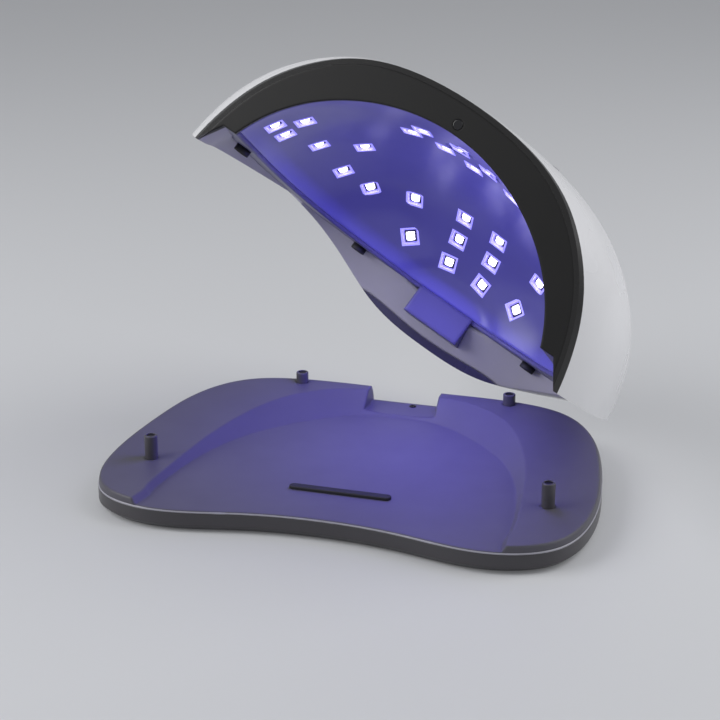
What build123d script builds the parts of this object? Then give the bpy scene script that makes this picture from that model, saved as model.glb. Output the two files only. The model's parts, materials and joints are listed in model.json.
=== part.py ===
"""Nail lamp: a domed lamp with LED-lined interior, tilted up beside its tray."""
import os
from math import cos, pi, sin

from build123d import *

# Tray, in millimetres: X right, Y back, Z up, origin on the underside
LIP_Z = 8.6
FLOOR_Z = 9.5
FRONT_PAD_Z = 12.6
BACK_PAD_Z = 19.2
PAN_WALL = 2.2
TRAY_SKIN = 2.2
RIM_TOP = 23.0
FOOT_DROP = 1.0
NOTCH_HALF = 18.5
NOTCH_Z = 10.5

# Posts that carry the dome
POST_R = 3.1
POST_TOP = 24.7
POST_SINK = 4.0
FRONT_POST = (96.0, -35.0)
BACK_POST = (54.7, 67.6)
MAGNET_R = 2.1
MAGNET_T = 2.0
MAGNET_DROP = 0.4
FOOT_R = 6.0
FOOT_SEAT = 1.2
HEEL_BAR_Y = -41.0
HEEL_BAR_SIZE = (49.0, 4.4)
HEEL_BAR_T = 1.5

# Dome, in the frame of the tray that it closes on
SHELL_T = 2.4
LINER_T = 2.0
RIM_T = 2.2
SEAT_Z = 25.0
FRONT_Y = -73.6
FRONT_LEAN = 0.15
FRONT_END = -100.0
REAR_Y = 84.0
RIM_FRONT_Z = 13.3
RIM_RISE = 0.105
SKIRT_LOW_Z = 2.0
BAND_INSET = 16.0
STRIKE_R = 3.2
STRIKE_T = 1.4

# Cross-sections of the dome, evenly spaced from front to back: half width, height, fullness
OUTER = ((88, 92, 2.5), (99.5, 95.8, 2.5), (113.5, 98.9, 2.45), (117.2, 100.2, 2.4),
         (116, 99.6, 2.4), (113, 95.8, 2.45), (106.5, 85.5, 2.6), (93, 66.5, 2.9), (64, 40, 3.4))
INNER = ((89, 77, 2.0), (90, 79, 2.0), (91.2, 80.2, 2.0), (91.4, 80.5, 2.0), (90.6, 79.7, 2.1),
         (87.3, 77.4, 2.2), (80.5, 72, 2.45), (65.5, 60.5, 3.0), (36, 38, 3.4))
INNER_BACK = 71.0
END_ROUND = 14.0

# LED windows, on the right wall, the roof and the rear slope
WINDOW = 8.0
POCKET_WALL = 1.3
POCKET_DEPTH = 3.6
EMITTER = 4.4
EMITTER_T = 1.0
BOARD = 8.4
BOARD_T = 1.2
CAST_Z = 20.0
SIDE_LEDS = ((77, -60, 39), (70, -53, 49), (78, -45, 40), (71, -15, 47), (58, -2, 60),
             (70, 20, 48), (59, 40, 50), (42.5, 46, 62.5), (42, 60, 49))
ROOF_LEDS = ((-32, -38), (-17, -29), (-3, -20), (-25, -47), (-10, -38), (4.5, -29),
             (20.5, -20.5), (-3, -46), (11.5, -37), (27, -29))
REAR_LEDS = ((44, 67), (55.5, 55.5), (66.5, 44.5))
REAR_LED_X = 10.5

# Control panel on the crown
PANEL_Y = -36.0
PANEL_SIZE = (90.0, 46.0)
PANEL_FIT = 0.15
PANEL_CORNER = 8.0
COLUMN_INSET = 8.0
LEDGE = 3.0
LEDGE_T = 1.6
DISPLAY_Y = -48.0
DISPLAY_SIZE = (34.0, 14.0)
DISPLAY_H = 5.4
BUTTON_Y = -26.0
BUTTONS = {"timer_button_10": -30.0, "timer_button_30": -10.0, "timer_button_60": 10.0,
           "timer_button_99": 30.0}
BUTTON_R = 4.7
BUTTON_GAP = 0.3
BUTTON_PROUD = 0.7
BUTTON_COLLAR = 1.4
BUTTON_TRAVEL = 0.7
CONTROL_BOARD_Z = 89.4
CONTROL_BOARD_SIZE = (84.0, 42.0)
SWITCH = 6.0
SWITCH_H = 3.0

# Inlet in the rear housing, and the sensor in the rim
HOUSING_HALF = 16.5
HOUSING_LOW_Z = 11.5
HOUSING_Y = 70.0
HOUSING_T = 1.8
INLET_Z = 17.5
INLET_R = 3.9
INLET_BORE_R = 3.0
INLET_BORE = 9.0
SENSOR_Z = 83.0
SENSOR_R = 2.2

# Tilt between the tray-closed pose and the propped-open pose
TILT_AXIS = Axis((104.0, 51.0, 21.0), (-0.7089, 0.6917, -0.1379))
TILT_DEG = 41.42


def write(piece, label, tilted=False):
    """Give a finished piece its label and place, and write it."""
    shape = piece.rotate(TILT_AXIS, TILT_DEG) if tilted else piece
    shape.label = label
    export_step(shape, f"parts/{label}.step")


def cut(base, *tools):
    """A solid with other solids taken out of it."""
    with BuildPart() as piece:
        add(base)
        for tool in tools:
            add(tool, clean=False, mode=Mode.SUBTRACT)
    return piece.part


def common(base, *tools):
    """What a solid shares with each of the others."""
    with BuildPart() as piece:
        add(base)
        for tool in tools:
            add(tool, clean=False, mode=Mode.INTERSECT)
    return piece.part


def tray_outline(inset=0.0):
    """Plan of the tray: a waisted front edge, full corners and a straight back."""
    half = [(0, -72), (42, -76.5), (80, -82), (106, -71), (117, -38), (113, 10), (104, 44),
            (86, 67), (50, 76), (0, 76)]
    across = 1 - inset / 117
    along = 1 - inset / 79
    with BuildSketch() as plan:
        with BuildLine():
            Spline(*[(x * across, y * along) for x, y in half], tangents=[(1, 0), (-1, 0)])
            mirror(about=Plane.YZ)
        make_face()
    return plan.sketch


def half_plan(points):
    """A face that is symmetric about X = 0, closed by a straight front."""
    with BuildSketch() as plan:
        with BuildLine():
            Spline(*points, tangents=[(1, 0), (0.25, -1)])
            Line(points[-1], (0, points[-1][1]))
            Line((0, points[-1][1]), points[0])
        make_face()
        mirror(about=Plane.YZ)
    return plan.sketch


def below_profile(points, low=-30.0):
    """A solid under a line in the YZ plane, wide enough to cross the tray."""
    with BuildPart() as under:
        with BuildSketch(Plane.YZ):
            with BuildLine():
                Spline(*points)
                Line(points[-1], (points[-1][0], low))
                Line((points[-1][0], low), (points[0][0], low))
                Line((points[0][0], low), points[0])
            make_face()
        extrude(amount=150, both=True)
    return under.part


def pad_top(drop=0.0):
    """Everything under the line of the rim pads, low in front and high behind."""
    heights = [(-110, FRONT_PAD_Z), (-60, FRONT_PAD_Z), (-20, 13.6), (30, 17.0), (66, BACK_PAD_Z),
               (110, 20.2)]
    return below_profile([(y, z - drop) for y, z in heights])


def recess(grow=0.0, floor_z=FLOOR_Z):
    """The palm recess: steep behind, gentle at the back corners, open in front."""
    top = [(0, 71), (40, 69), (60, 58), (76, 34), (86, 4), (90, -30), (93, -64), (99, -100)]
    low = [(0, 57), (22, 53.5), (43, 39), (62, 18), (74, -6), (81, -34), (84, -64), (90, -100)]
    with BuildPart() as bowl:
        for height, points in ((floor_z, low), (RIM_TOP + 0.5, top)):
            with BuildSketch(Plane.XY.offset(height)):
                add(half_plan([(x + grow * x / 99, y + grow) for x, y in points]))
        loft()
    return bowl.part


def post_places():
    """The four post centres with the pad height at each."""
    for side in (-1, 1):
        yield (side * FRONT_POST[0], FRONT_POST[1], FRONT_PAD_Z + 0.5)
        yield (side * BACK_POST[0], BACK_POST[1], BACK_PAD_Z)


def rim_ring(inset, low, high_inset, high):
    """The rolled shoulder: sections that draw in faster the higher they lie."""
    with BuildPart() as ring:
        for part_way in (0.0, 0.35, 0.7, 1.0):
            drawn = inset + (high_inset - inset) * (1 - cos(part_way * pi / 2))
            height = low + (high - low) * sin(part_way * pi / 2)
            with BuildSketch(Plane.XY.offset(height)):
                add(tray_outline(drawn))
        loft()
    return ring.part


def make_tray_top():
    """The moulded tray: rolled rim, pads, recess, notch, sockets and ribs below."""
    solid = common(rim_ring(0.5, LIP_Z, 13.0, RIM_TOP), pad_top())
    with BuildPart() as ribs:
        for turn in (30, 75, 105, 150):
            with BuildSketch(Plane.XY.rotated((0, 0, turn)).offset(LIP_Z - 2)):
                Rectangle(300, 1.6)
            extrude(amount=16)
    hollow = common(rim_ring(3.4, LIP_Z - 0.1, 14.5, RIM_TOP), pad_top(TRAY_SKIN))
    notch_case = block((-NOTCH_HALF - TRAY_SKIN, NOTCH_HALF + TRAY_SKIN), (50, 100), (0, 30))
    hollow = cut(hollow, recess(TRAY_SKIN + 0.6, LIP_Z - 3), ribs.part, notch_case)
    with BuildPart() as tray:
        add(cut(solid, recess(), hollow))
        with BuildSketch(Plane.XY.offset(FLOOR_Z - TRAY_SKIN)):
            add(tray_outline(PAN_WALL + 0.4))
        extrude(amount=LIP_Z - FLOOR_Z + TRAY_SKIN, clean=False)
        with Locations((0, 80, NOTCH_Z + 10)):
            Box(2 * NOTCH_HALF, 44, 20, mode=Mode.SUBTRACT)
        for x, y, z in post_places():
            with Locations((x, y, z - 3.6)):
                Cylinder(POST_R + 1.4, 6.0)
            with Locations((x, y, z - POST_SINK + 5)):
                Cylinder(POST_R, 10, mode=Mode.SUBTRACT)
    return tray.part


def make_tray_pan():
    """The lower pan: the side wall under the lip and the base plate, with bosses."""
    with BuildPart() as pan:
        with BuildSketch():
            add(tray_outline(2.4))
        with BuildSketch(Plane.XY.offset(2.4)):
            add(tray_outline(0.2))
        loft()
        with BuildSketch(Plane.XY.offset(2.4)):
            add(tray_outline(0.2))
        extrude(amount=LIP_Z - 2.4)
        with BuildSketch(Plane.XY.offset(2.0)):
            add(tray_outline(PAN_WALL + 0.2))
        extrude(amount=LIP_Z, mode=Mode.SUBTRACT)
        with Locations(*[(x, y, 4.6) for x, y in screw_places()]):
            Cylinder(4.0, 5.4)
        with Locations(*[(x, y, 0) for x, y in screw_places()]):
            Cylinder(1.6, 20, mode=Mode.SUBTRACT)
            Cylinder(3.0, 4.0, mode=Mode.SUBTRACT)
        for x, y in foot_places():
            with Locations((x, y, 0)):
                Cylinder(FOOT_R, 2 * FOOT_SEAT, mode=Mode.SUBTRACT)
    return pan.part


def screw_places():
    """Six base screws, mirrored about the middle."""
    return [(side * x, y) for side in (-1, 1) for x, y in ((90, -52), (92, 20), (44, 60))]


def foot_places():
    """Four rubber feet near the corners."""
    return [(side * x, y) for side in (-1, 1) for x, y in ((84, -66), (78, 50))]


def ellipse_points(width, height, power, steps=8):
    """Upper half of a superellipse, from the right foot to the left."""
    for step in range(steps + 1):
        angle = pi * step / steps
        reach = abs(cos(angle)) ** (2 / power) * (1 if cos(angle) >= 0 else -1)
        yield (width * reach, height * abs(sin(angle)) ** (2 / power))


def arch_section(y, width, height, power, base):
    """One upright cross-section of a dome at a given depth."""
    with BuildSketch(Plane.XZ.offset(-y)) as section:
        with BuildLine():
            points = list(ellipse_points(width, height, power))
            add(Edge.make_spline([Vector(*point) for point in points],
                                 parameters=[step / 8 for step in range(9)]))
            Polyline(points[-1], (-width, base), (width, base), points[0])
        make_face()
    return section.sketch


def dome_solid(sections, front, back, shrink, base):
    """A closed dome through evenly spaced cross-sections, front to back."""
    step = (back - shrink - front) / (len(sections) - 1)
    with BuildPart() as dome:
        for index, (width, height, power) in enumerate(sections):
            add(arch_section(front + index * step, width - shrink, height - shrink, power, base))
        loft(clean=False)
    return dome.part


def outer_dome(skin=0.0, base=-3.0):
    """The white shell's outer form, or its inner form when a skin is taken off."""
    return dome_solid(OUTER, FRONT_END, REAR_Y, skin, base)


def cavity(grow=0.0, base=-3.0):
    """The space for the hand, or the liner's outer form when grown, rounded at the rear."""
    space = dome_solid(INNER, FRONT_END, INNER_BACK, -grow, base)
    arch = space.faces().sort_by(Axis.Y)[-1].edges().sort_by(SortBy.LENGTH)[-1]
    return space.fillet(END_ROUND + grow, [arch])


def crown_z(x):
    """Height of the crown at a distance from the middle, over the control panel."""
    width, height, power = OUTER[3]
    return height * (1 - (abs(x) / width) ** power) ** (1 / power)


def rim_z(y):
    """Height of the dome's side rim, rising towards the back."""
    return RIM_FRONT_Z + RIM_RISE * (y - FRONT_Y)


def band_plan(inset):
    """Plan of the dome's lower opening, run out through the open front."""
    back = REAR_Y - 0.8 * inset
    half = [(0, back), (58, back - 1), (88 - inset * 0.5, 68 - inset * 0.6),
            (106 - inset * 0.9, 40 - inset * 0.3), (115 - inset, 5), (117.5 - inset, -38),
            (116 - inset, -120)]
    return half_plan(half)


def under_rim(lift=0.0):
    """All that lies under the dome: side rim, rear skirt and the slanted inner band."""
    corner_z = rim_z(48)
    skirt = [(-130, corner_z), (-98, corner_z - 0.5), (-80, 22), (-60, 14.6), (-38, 6),
             (0, SKIRT_LOW_Z), (38, 6), (60, 14.6), (80, 22), (98, corner_z - 0.5), (130, corner_z)]
    with BuildPart() as under:
        with BuildSketch(Plane.YZ):
            Polygon((-140, -20), (-140, rim_z(-140) + lift), (48, corner_z + lift), (48, -20),
                    align=None)
        extrude(amount=160, both=True)
        with BuildSketch(Plane.XZ.offset(-47.9)):
            with BuildLine():
                Spline(*[(x, z + lift) for x, z in skirt])
                Line((130, corner_z + lift), (130, -20))
                Line((130, -20), (-130, -20))
                Line((-130, -20), (-130, corner_z + lift))
            make_face()
        extrude(amount=-60)
        for height, inset in ((SEAT_Z + lift, BAND_INSET), (SEAT_Z - 24 + lift, BAND_INSET - 16.4)):
            with BuildSketch(Plane.XY.offset(height)):
                add(band_plan(inset))
        loft()
    return under.part


def front_slab(depth, ahead=60.0):
    """Everything in front of a plane that leans with the dome's face."""
    with BuildPart() as slab:
        with BuildSketch(Plane.YZ):
            top = FRONT_Y + depth - FRONT_LEAN * 130
            foot = FRONT_Y + depth + FRONT_LEAN * 30
            Polygon((foot, -30), (top, 130), (top - ahead, 130), (foot - ahead, -30), align=None)
        extrude(amount=160, both=True)
    return slab.part


def block(x, y, z):
    """A box between two values each of X, Y and Z."""
    with BuildPart() as box:
        with BuildSketch(Plane.XY.offset(z[0])):
            with Locations(((x[0] + x[1]) / 2, (y[0] + y[1]) / 2)):
                Rectangle(x[1] - x[0], y[1] - y[0])
        extrude(amount=z[1] - z[0])
    return box.part


def crown_prism(size, y, fit=0.0, corner=PANEL_CORNER):
    """An upright block with rounded corners through the crown of the dome."""
    with BuildPart() as prism:
        with BuildSketch(Plane.XY.offset(CONTROL_BOARD_Z - 4)):
            with Locations((0, y)):
                RectangleRounded(size[0] - 2 * fit, size[1] - 2 * fit, corner - fit)
        extrude(amount=30)
    return prism.part


def make_top_shell(skin, under):
    """The white shell, with the ledge that the control panel rests on."""
    width, depth = PANEL_SIZE
    frame = cut(crown_prism((width + 6, depth + 6), PANEL_Y),
                crown_prism((width - 2 * LEDGE, depth - 2 * LEDGE), PANEL_Y))
    ledge = common(outer_dome(SHELL_T), frame)
    ledge = cut(ledge, outer_dome(SHELL_T + LEDGE_T, -7))
    trimmed = cut(skin, under, crown_prism(PANEL_SIZE, PANEL_Y))
    with BuildPart() as shell:
        add(trimmed)
        add(ledge, clean=False)
        with Locations(Plane.XZ.offset(-REAR_Y) * Pos(0, INLET_Z, 0)):
            Cylinder(INLET_R + 0.1, 12, mode=Mode.SUBTRACT)
    return shell.part


def housing(grow=0.0):
    """The block behind the liner that holds the inlet."""
    return block((-HOUSING_HALF - grow, HOUSING_HALF + grow), (HOUSING_Y - grow, REAR_Y - SHELL_T),
                 (HOUSING_LOW_Z - grow, SEAT_Z + RIM_T + grow))


def make_rim_bezel(under):
    """The charcoal rim: the arched face in front, the side rim and the rear band."""
    inner_form = cut(outer_dome(SHELL_T), front_slab(0), under)
    band = common(cut(inner_form, cavity(LINER_T, -7)), under_rim(RIM_T))
    with BuildPart() as flange_space:
        with BuildSketch(Plane.XY.offset(SEAT_Z - 0.5)):
            add(band_plan(BAND_INSET))
        extrude(amount=RIM_T + 2)
    band = cut(band, cut(flange_space.part, front_slab(RIM_T)), housing())
    face = cut(common(inner_form, front_slab(RIM_T)), cavity(0, -7))
    with BuildPart() as bezel:
        add(band)
        add(face, clean=False)
        with Locations(sensor_plane()):
            Cylinder(SENSOR_R, 12, mode=Mode.SUBTRACT)
    return bezel.part


def sensor_plane():
    """The place of the sensor on the leaning face, looking out of it."""
    y = FRONT_Y - FRONT_LEAN * SENSOR_Z
    return Plane(origin=(0, y, SENSOR_Z), x_dir=(1, 0, 0), z_dir=(0, -1, -FRONT_LEAN))


def led_planes(target):
    """The window planes of one LED group, on the liner's inner face and looking outwards."""
    inside = cavity()
    casts = {"left": [((0, y, CAST_Z), (-x, y, z)) for x, y, z in SIDE_LEDS],
             "right": [((0, y, CAST_Z), (x, y, z)) for x, y, z in SIDE_LEDS],
             "roof": [((x, y, CAST_Z), (x, y, 90)) for x, y in ROOF_LEDS],
             "rear": [((x, 20, CAST_Z), (x, y, z)) for y, z in REAR_LEDS
                      for x in (-REAR_LED_X, REAR_LED_X)]}
    for start, end in casts[target]:
        ray = Axis(start, Vector(*end) - Vector(*start))
        hits = [(point, normal) for point, normal in inside.find_intersection_points(ray)
                if (point - Vector(*start)).dot(ray.direction) > 0]
        point, normal = hits[-1]
        yield Plane(origin=point, x_dir=Vector(0, 1, 0).cross(normal), z_dir=normal)


def blocks_at(planes, size, low, high):
    """Square blocks on the window planes, between two distances behind the inner face."""
    with BuildPart() as blocks:
        for plane in planes:
            with Locations(plane.offset((low + high) / 2)):
                Box(size, size, high - low)
    return blocks.part


def make_liner(planes):
    """The violet-lit liner, standing on its flange, with a pocket behind each LED window."""
    below = block((-130, 130), (-130, 100), (-30, SEAT_Z + RIM_T))
    wall = cut(cavity(LINER_T), below, front_slab(RIM_T))
    with BuildPart() as liner:
        add(wall)
        add(blocks_at(planes, WINDOW + 2 * POCKET_WALL, 0, POCKET_DEPTH), clean=False)
        add(cavity(0, -7), clean=False, mode=Mode.SUBTRACT)
        add(front_slab(RIM_T), clean=False, mode=Mode.SUBTRACT)
        add(blocks_at(planes, WINDOW, -3, POCKET_DEPTH + 1), clean=False, mode=Mode.SUBTRACT)
    return liner.part


def make_flange():
    """The flange under the liner, with the inlet's housing and the seats of the strike plates."""
    with BuildPart() as flange:
        with BuildSketch(Plane.XY.offset(SEAT_Z)):
            add(band_plan(BAND_INSET))
        extrude(amount=RIM_T)
        add(cavity(0, -7), clean=False, mode=Mode.SUBTRACT)
        add(front_slab(RIM_T), clean=False, mode=Mode.SUBTRACT)
        add(housing(), clean=False)
        with Locations((0, HOUSING_Y + 20 + HOUSING_T, (HOUSING_LOW_Z + SEAT_Z) / 2)):
            Box(2 * (HOUSING_HALF - HOUSING_T), 40, SEAT_Z - HOUSING_LOW_Z - 2 * HOUSING_T,
                mode=Mode.SUBTRACT)
        for x, y, z in post_places():
            with Locations((x, y, SEAT_Z)):
                Cylinder(STRIKE_R, 2 * STRIKE_T, mode=Mode.SUBTRACT)
    return flange.part


def make_strikes():
    """The steel discs in the flange that the post magnets hold."""
    with BuildPart() as strikes:
        for x, y, z in post_places():
            with Locations((x, y, SEAT_Z + STRIKE_T / 2)):
                Cylinder(STRIKE_R, STRIKE_T)
    return strikes.part


def make_sensor_lens():
    """The dark lens of the hand sensor, flush with the rim's face."""
    with BuildPart() as lens:
        with BuildSketch(sensor_plane().offset(-RIM_T)):
            Circle(SENSOR_R)
        extrude(amount=RIM_T + 0.4)
        fillet(lens.edges().sort_by(Axis.Y)[0], 0.3)
    return lens.part


def make_sensor_board():
    """The board that carries the hand sensor behind the rim's face."""
    with BuildPart() as board:
        with BuildSketch(sensor_plane().offset(-RIM_T)):
            with Locations((0, 2)):
                Rectangle(14, 9)
        extrude(amount=-BOARD_T)
    return board.part


def make_inlet():
    """The power inlet: a moulded body and a round nose with its bore."""
    floor_z = HOUSING_LOW_Z + HOUSING_T
    front_y = HOUSING_Y + HOUSING_T
    with BuildPart() as inlet:
        with BuildSketch(Plane.XY.offset(floor_z)):
            with Locations((0, (front_y + REAR_Y - SHELL_T) / 2)):
                Rectangle(10, REAR_Y - SHELL_T - front_y)
        extrude(amount=9.4)
        with BuildSketch(Plane.XZ.offset(-REAR_Y)):
            with Locations((0, INLET_Z)):
                Circle(INLET_R)
        extrude(amount=SHELL_T + 1)
        with BuildSketch(Plane.XZ.offset(-REAR_Y)):
            with Locations((0, INLET_Z)):
                Circle(INLET_BORE_R)
        extrude(amount=INLET_BORE, mode=Mode.SUBTRACT)
    return inlet.part


def button_rises():
    """Each button's name, its X and the heights of its crown and of its collar."""
    for name, x in BUTTONS.items():
        crown = crown_z(x)
        collar = crown_z(abs(x) + BUTTON_R + BUTTON_COLLAR) - SHELL_T - 0.4
        yield name, x, crown, collar


def make_control_panel(skin):
    """The panel in the crown, with a stepped display opening, button holes and board columns."""
    width, depth = PANEL_SIZE
    panel = common(skin, crown_prism(PANEL_SIZE, PANEL_Y, PANEL_FIT))
    upper = crown_prism(DISPLAY_SIZE, DISPLAY_Y, 0, 2)
    with BuildPart() as piece:
        add(panel)
        for x in (-width / 2 + COLUMN_INSET, width / 2 - COLUMN_INSET):
            for y in (PANEL_Y - depth / 2 + COLUMN_INSET, PANEL_Y + depth / 2 - COLUMN_INSET):
                with Locations((x, y, (CONTROL_BOARD_Z + crown_z(x) - 1.2) / 2)):
                    Cylinder(2.4, crown_z(x) - 1.2 - CONTROL_BOARD_Z)
        add(upper, clean=False, mode=Mode.SUBTRACT)
        for name, x, crown, collar in button_rises():
            with Locations((x, BUTTON_Y, crown)):
                Cylinder(BUTTON_R + BUTTON_GAP, 12, mode=Mode.SUBTRACT)
    return piece.part


def make_button(x, crown, collar):
    """One timer button: a proud cap, a collar under the panel and a stem to its switch."""
    stem_low = CONTROL_BOARD_Z + SWITCH_H + BUTTON_TRAVEL + 0.1
    with BuildPart() as button:
        with BuildSketch(Plane.XY.offset(collar)):
            with Locations((x, BUTTON_Y)):
                Circle(BUTTON_R)
        extrude(amount=crown + BUTTON_PROUD - collar)
        fillet(button.edges().group_by(Axis.Z)[-1], 0.6)
        with BuildSketch(Plane.XY.offset(collar)):
            with Locations((x, BUTTON_Y)):
                Circle(BUTTON_R + BUTTON_COLLAR)
        extrude(amount=-1.0)
        with BuildSketch(Plane.XY.offset(stem_low)):
            with Locations((x, BUTTON_Y)):
                Circle(1.6)
        extrude(amount=collar - stem_low)
    return button.part


def make_display_window(skin):
    """The tinted window that fills the opening over the display."""
    return common(skin, crown_prism(DISPLAY_SIZE, DISPLAY_Y, 0, 2))


def make_display():
    """The digit module on the board, just under its window."""
    with BuildPart() as display:
        with BuildSketch(Plane.XY.offset(CONTROL_BOARD_Z)):
            with Locations((0, DISPLAY_Y)):
                Rectangle(30, 12)
        extrude(amount=DISPLAY_H)
    return display.part


def make_control_board():
    """The board that hangs under the control panel on its four columns."""
    with BuildPart() as board:
        with BuildSketch(Plane.XY.offset(CONTROL_BOARD_Z)):
            with Locations((0, PANEL_Y)):
                RectangleRounded(*CONTROL_BOARD_SIZE, 2)
        extrude(amount=-1.6)
    return board.part


def make_switches():
    """The four tact switches under the button stems."""
    with BuildPart() as switches:
        for x in BUTTONS.values():
            with Locations((x, BUTTON_Y, CONTROL_BOARD_Z + SWITCH_H / 2 - 0.4)):
                Box(SWITCH, SWITCH, SWITCH_H - 0.8)
            with Locations((x, BUTTON_Y, CONTROL_BOARD_Z + SWITCH_H / 2)):
                Cylinder(1.7, SWITCH_H)
    return switches.part


def make_heel_bar():
    """The dark bar across the palm rest."""
    with BuildPart() as bar:
        with BuildSketch(Plane.XY.offset(FLOOR_Z)):
            with Locations((0, HEEL_BAR_Y)):
                SlotOverall(*HEEL_BAR_SIZE)
        extrude(amount=HEEL_BAR_T)
        fillet(bar.edges().group_by(Axis.Z)[-1], 0.5)
    return bar.part


def make_post(x, y, pad_z):
    """One tubular post, closed at the foot and rounded at the rim, with its magnet seat."""
    foot_z = pad_z - POST_SINK
    with BuildPart() as post:
        with BuildSketch(Plane.XY.offset(foot_z)):
            with Locations((x, y)):
                Circle(POST_R)
        extrude(amount=POST_TOP - foot_z)
        with BuildSketch(Plane.XY.offset(POST_TOP - MAGNET_T)):
            with Locations((x, y)):
                Circle(MAGNET_R)
        extrude(amount=MAGNET_T + 1, mode=Mode.SUBTRACT)
        fillet(post.edges().group_by(Axis.Z)[-1].sort_by(SortBy.LENGTH)[-1], 0.5)
    return post.part


def make_magnets():
    """The disc magnets in the post tops, a little below the rims."""
    with BuildPart() as magnets:
        for x, y, pad_z in post_places():
            with BuildSketch(Plane.XY.offset(POST_TOP - MAGNET_T)):
                with Locations((x, y)):
                    Circle(MAGNET_R)
            extrude(amount=MAGNET_T - MAGNET_DROP)
    return magnets.part


def make_feet():
    """The round rubber feet in their seats under the pan."""
    with BuildPart() as feet:
        with BuildSketch(Plane.XY.offset(-FOOT_DROP)):
            with Locations(*foot_places()):
                Circle(FOOT_R)
        extrude(amount=FOOT_DROP + FOOT_SEAT)
    return feet.part


def write_tray():
    """Make and write the pieces that stand on the table."""
    write(make_tray_top(), "tray_top")
    write(make_tray_pan(), "tray_pan")
    write(make_heel_bar(), "heel_bar")
    names = ("post_front_left", "post_back_left", "post_front_right", "post_back_right")
    for name, (x, y, pad_z) in zip(names, post_places()):
        write(make_post(x, y, pad_z), name)
    write(make_magnets(), "post_magnets")
    write(make_feet(), "rubber_feet")


def write_dome():
    """Make and write the pieces of the dome, each tilted to the photographed pose."""
    under = under_rim()
    skin = cut(outer_dome(), front_slab(0), outer_dome(SHELL_T, -7))
    groups = {name: list(led_planes(name)) for name in ("left", "right", "roof", "rear")}
    write(make_top_shell(skin, under), "top_shell", True)
    write(make_rim_bezel(under), "rim_bezel", True)
    write(make_liner([plane for planes in groups.values() for plane in planes]), "led_liner", True)
    write(make_flange(), "liner_flange", True)
    for name, planes in groups.items():
        boards = blocks_at(planes, BOARD, POCKET_DEPTH, POCKET_DEPTH + BOARD_T)
        write(boards, f"led_boards_{name}", True)
        emitters = blocks_at(planes, EMITTER, POCKET_DEPTH - EMITTER_T, POCKET_DEPTH)
        write(emitters, f"led_emitters_{name}", True)
    write(make_strikes(), "strike_plates", True)
    write(make_sensor_lens(), "sensor_lens", True)
    write(make_sensor_board(), "sensor_board", True)
    write(make_inlet(), "power_inlet", True)
    write(make_control_panel(skin), "control_panel", True)
    write(make_display_window(skin), "display_window", True)
    write(make_display(), "display_module", True)
    write(make_control_board(), "control_board", True)
    write(make_switches(), "tact_switches", True)
    for name, x, crown, collar in button_rises():
        write(make_button(x, crown, collar), name, True)


os.makedirs("parts", exist_ok=True)
write_tray()
write_dome()
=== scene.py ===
"""Nail lamp: a domed lamp tilted up beside its tray, with lit LED windows."""
import json
import math

import bmesh
import bpy
import numpy as np
from mathutils import Matrix, Vector

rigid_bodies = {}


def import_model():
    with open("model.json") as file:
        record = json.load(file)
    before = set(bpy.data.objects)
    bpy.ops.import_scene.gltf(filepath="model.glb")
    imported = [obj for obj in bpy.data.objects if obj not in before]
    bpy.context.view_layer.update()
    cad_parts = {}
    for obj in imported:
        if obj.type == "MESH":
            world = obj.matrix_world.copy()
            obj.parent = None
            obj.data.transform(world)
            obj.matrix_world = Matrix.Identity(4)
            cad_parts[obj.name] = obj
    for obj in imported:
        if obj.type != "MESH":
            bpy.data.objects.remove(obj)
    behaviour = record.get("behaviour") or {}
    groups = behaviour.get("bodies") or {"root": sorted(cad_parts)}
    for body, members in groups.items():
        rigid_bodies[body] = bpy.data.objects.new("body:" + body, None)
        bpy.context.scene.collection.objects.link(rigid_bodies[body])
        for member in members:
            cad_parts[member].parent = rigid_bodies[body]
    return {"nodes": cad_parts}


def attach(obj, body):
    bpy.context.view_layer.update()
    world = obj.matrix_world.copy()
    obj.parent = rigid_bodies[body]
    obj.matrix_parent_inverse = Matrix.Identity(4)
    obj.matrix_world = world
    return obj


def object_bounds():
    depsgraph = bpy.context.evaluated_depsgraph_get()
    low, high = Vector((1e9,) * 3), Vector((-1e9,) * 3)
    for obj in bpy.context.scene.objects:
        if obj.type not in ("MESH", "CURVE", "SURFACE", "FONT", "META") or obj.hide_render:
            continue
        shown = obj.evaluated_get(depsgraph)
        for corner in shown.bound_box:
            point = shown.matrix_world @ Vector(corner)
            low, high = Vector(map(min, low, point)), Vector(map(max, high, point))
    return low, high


bl_info = {
    "name": "Nail lamp",
    "version": (1, 0, 0),
    "blender": (4, 5, 0),
    "location": "View3D > Sidebar > Nail lamp",
    "description": "Finishes and fine pieces for the domed nail lamp",
    "category": "Object",
}

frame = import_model()
CAD_BOX = [list(corner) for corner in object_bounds()]
MM = 0.001

# The turn of the closed dome to the pose that is shown: a point on its axis, its axis and angle
TILT_POINT = Vector((0.104, 0.051, 0.021))
TILT_AXIS = Vector((-0.7089, 0.6917, -0.1379)).normalized()
TILT = math.radians(41.42)

# Camera at the photograph's angle
CAMERA_AZIMUTH = math.radians(17)
CAMERA_ELEVATION = math.radians(20)
CAMERA_TARGET = Vector((-0.0191, 0.053, 0.040))
CAMERA_DISTANCE = 0.9539
CAMERA_LENS = 95
CAMERA_SENSOR = 36
CAMERA_NEAR = 10 * MM

# The closed dome's front face, how much it leans forward for its height, and a point well inside
FRONT_Y = -73.6 * MM
FRONT_LEAN = 0.15
DOME_MIDDLE = Vector((0, 0, 20 * MM))

# Points as near as this are one point, in a CAD mesh and in a new one; sharper edges stay creased
CAD_MERGE = 2e-6
NEW_MERGE = 1e-7
CREASE = math.radians(24)

# The LEDs: the side of an emitter's box, and a reach that joins its corners and no two boxes
LED_GROUPS = ("left", "right", "roof", "rear")
LED_SIDE = 4.4 * MM
LED_REACH = 4.7 * MM

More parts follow.
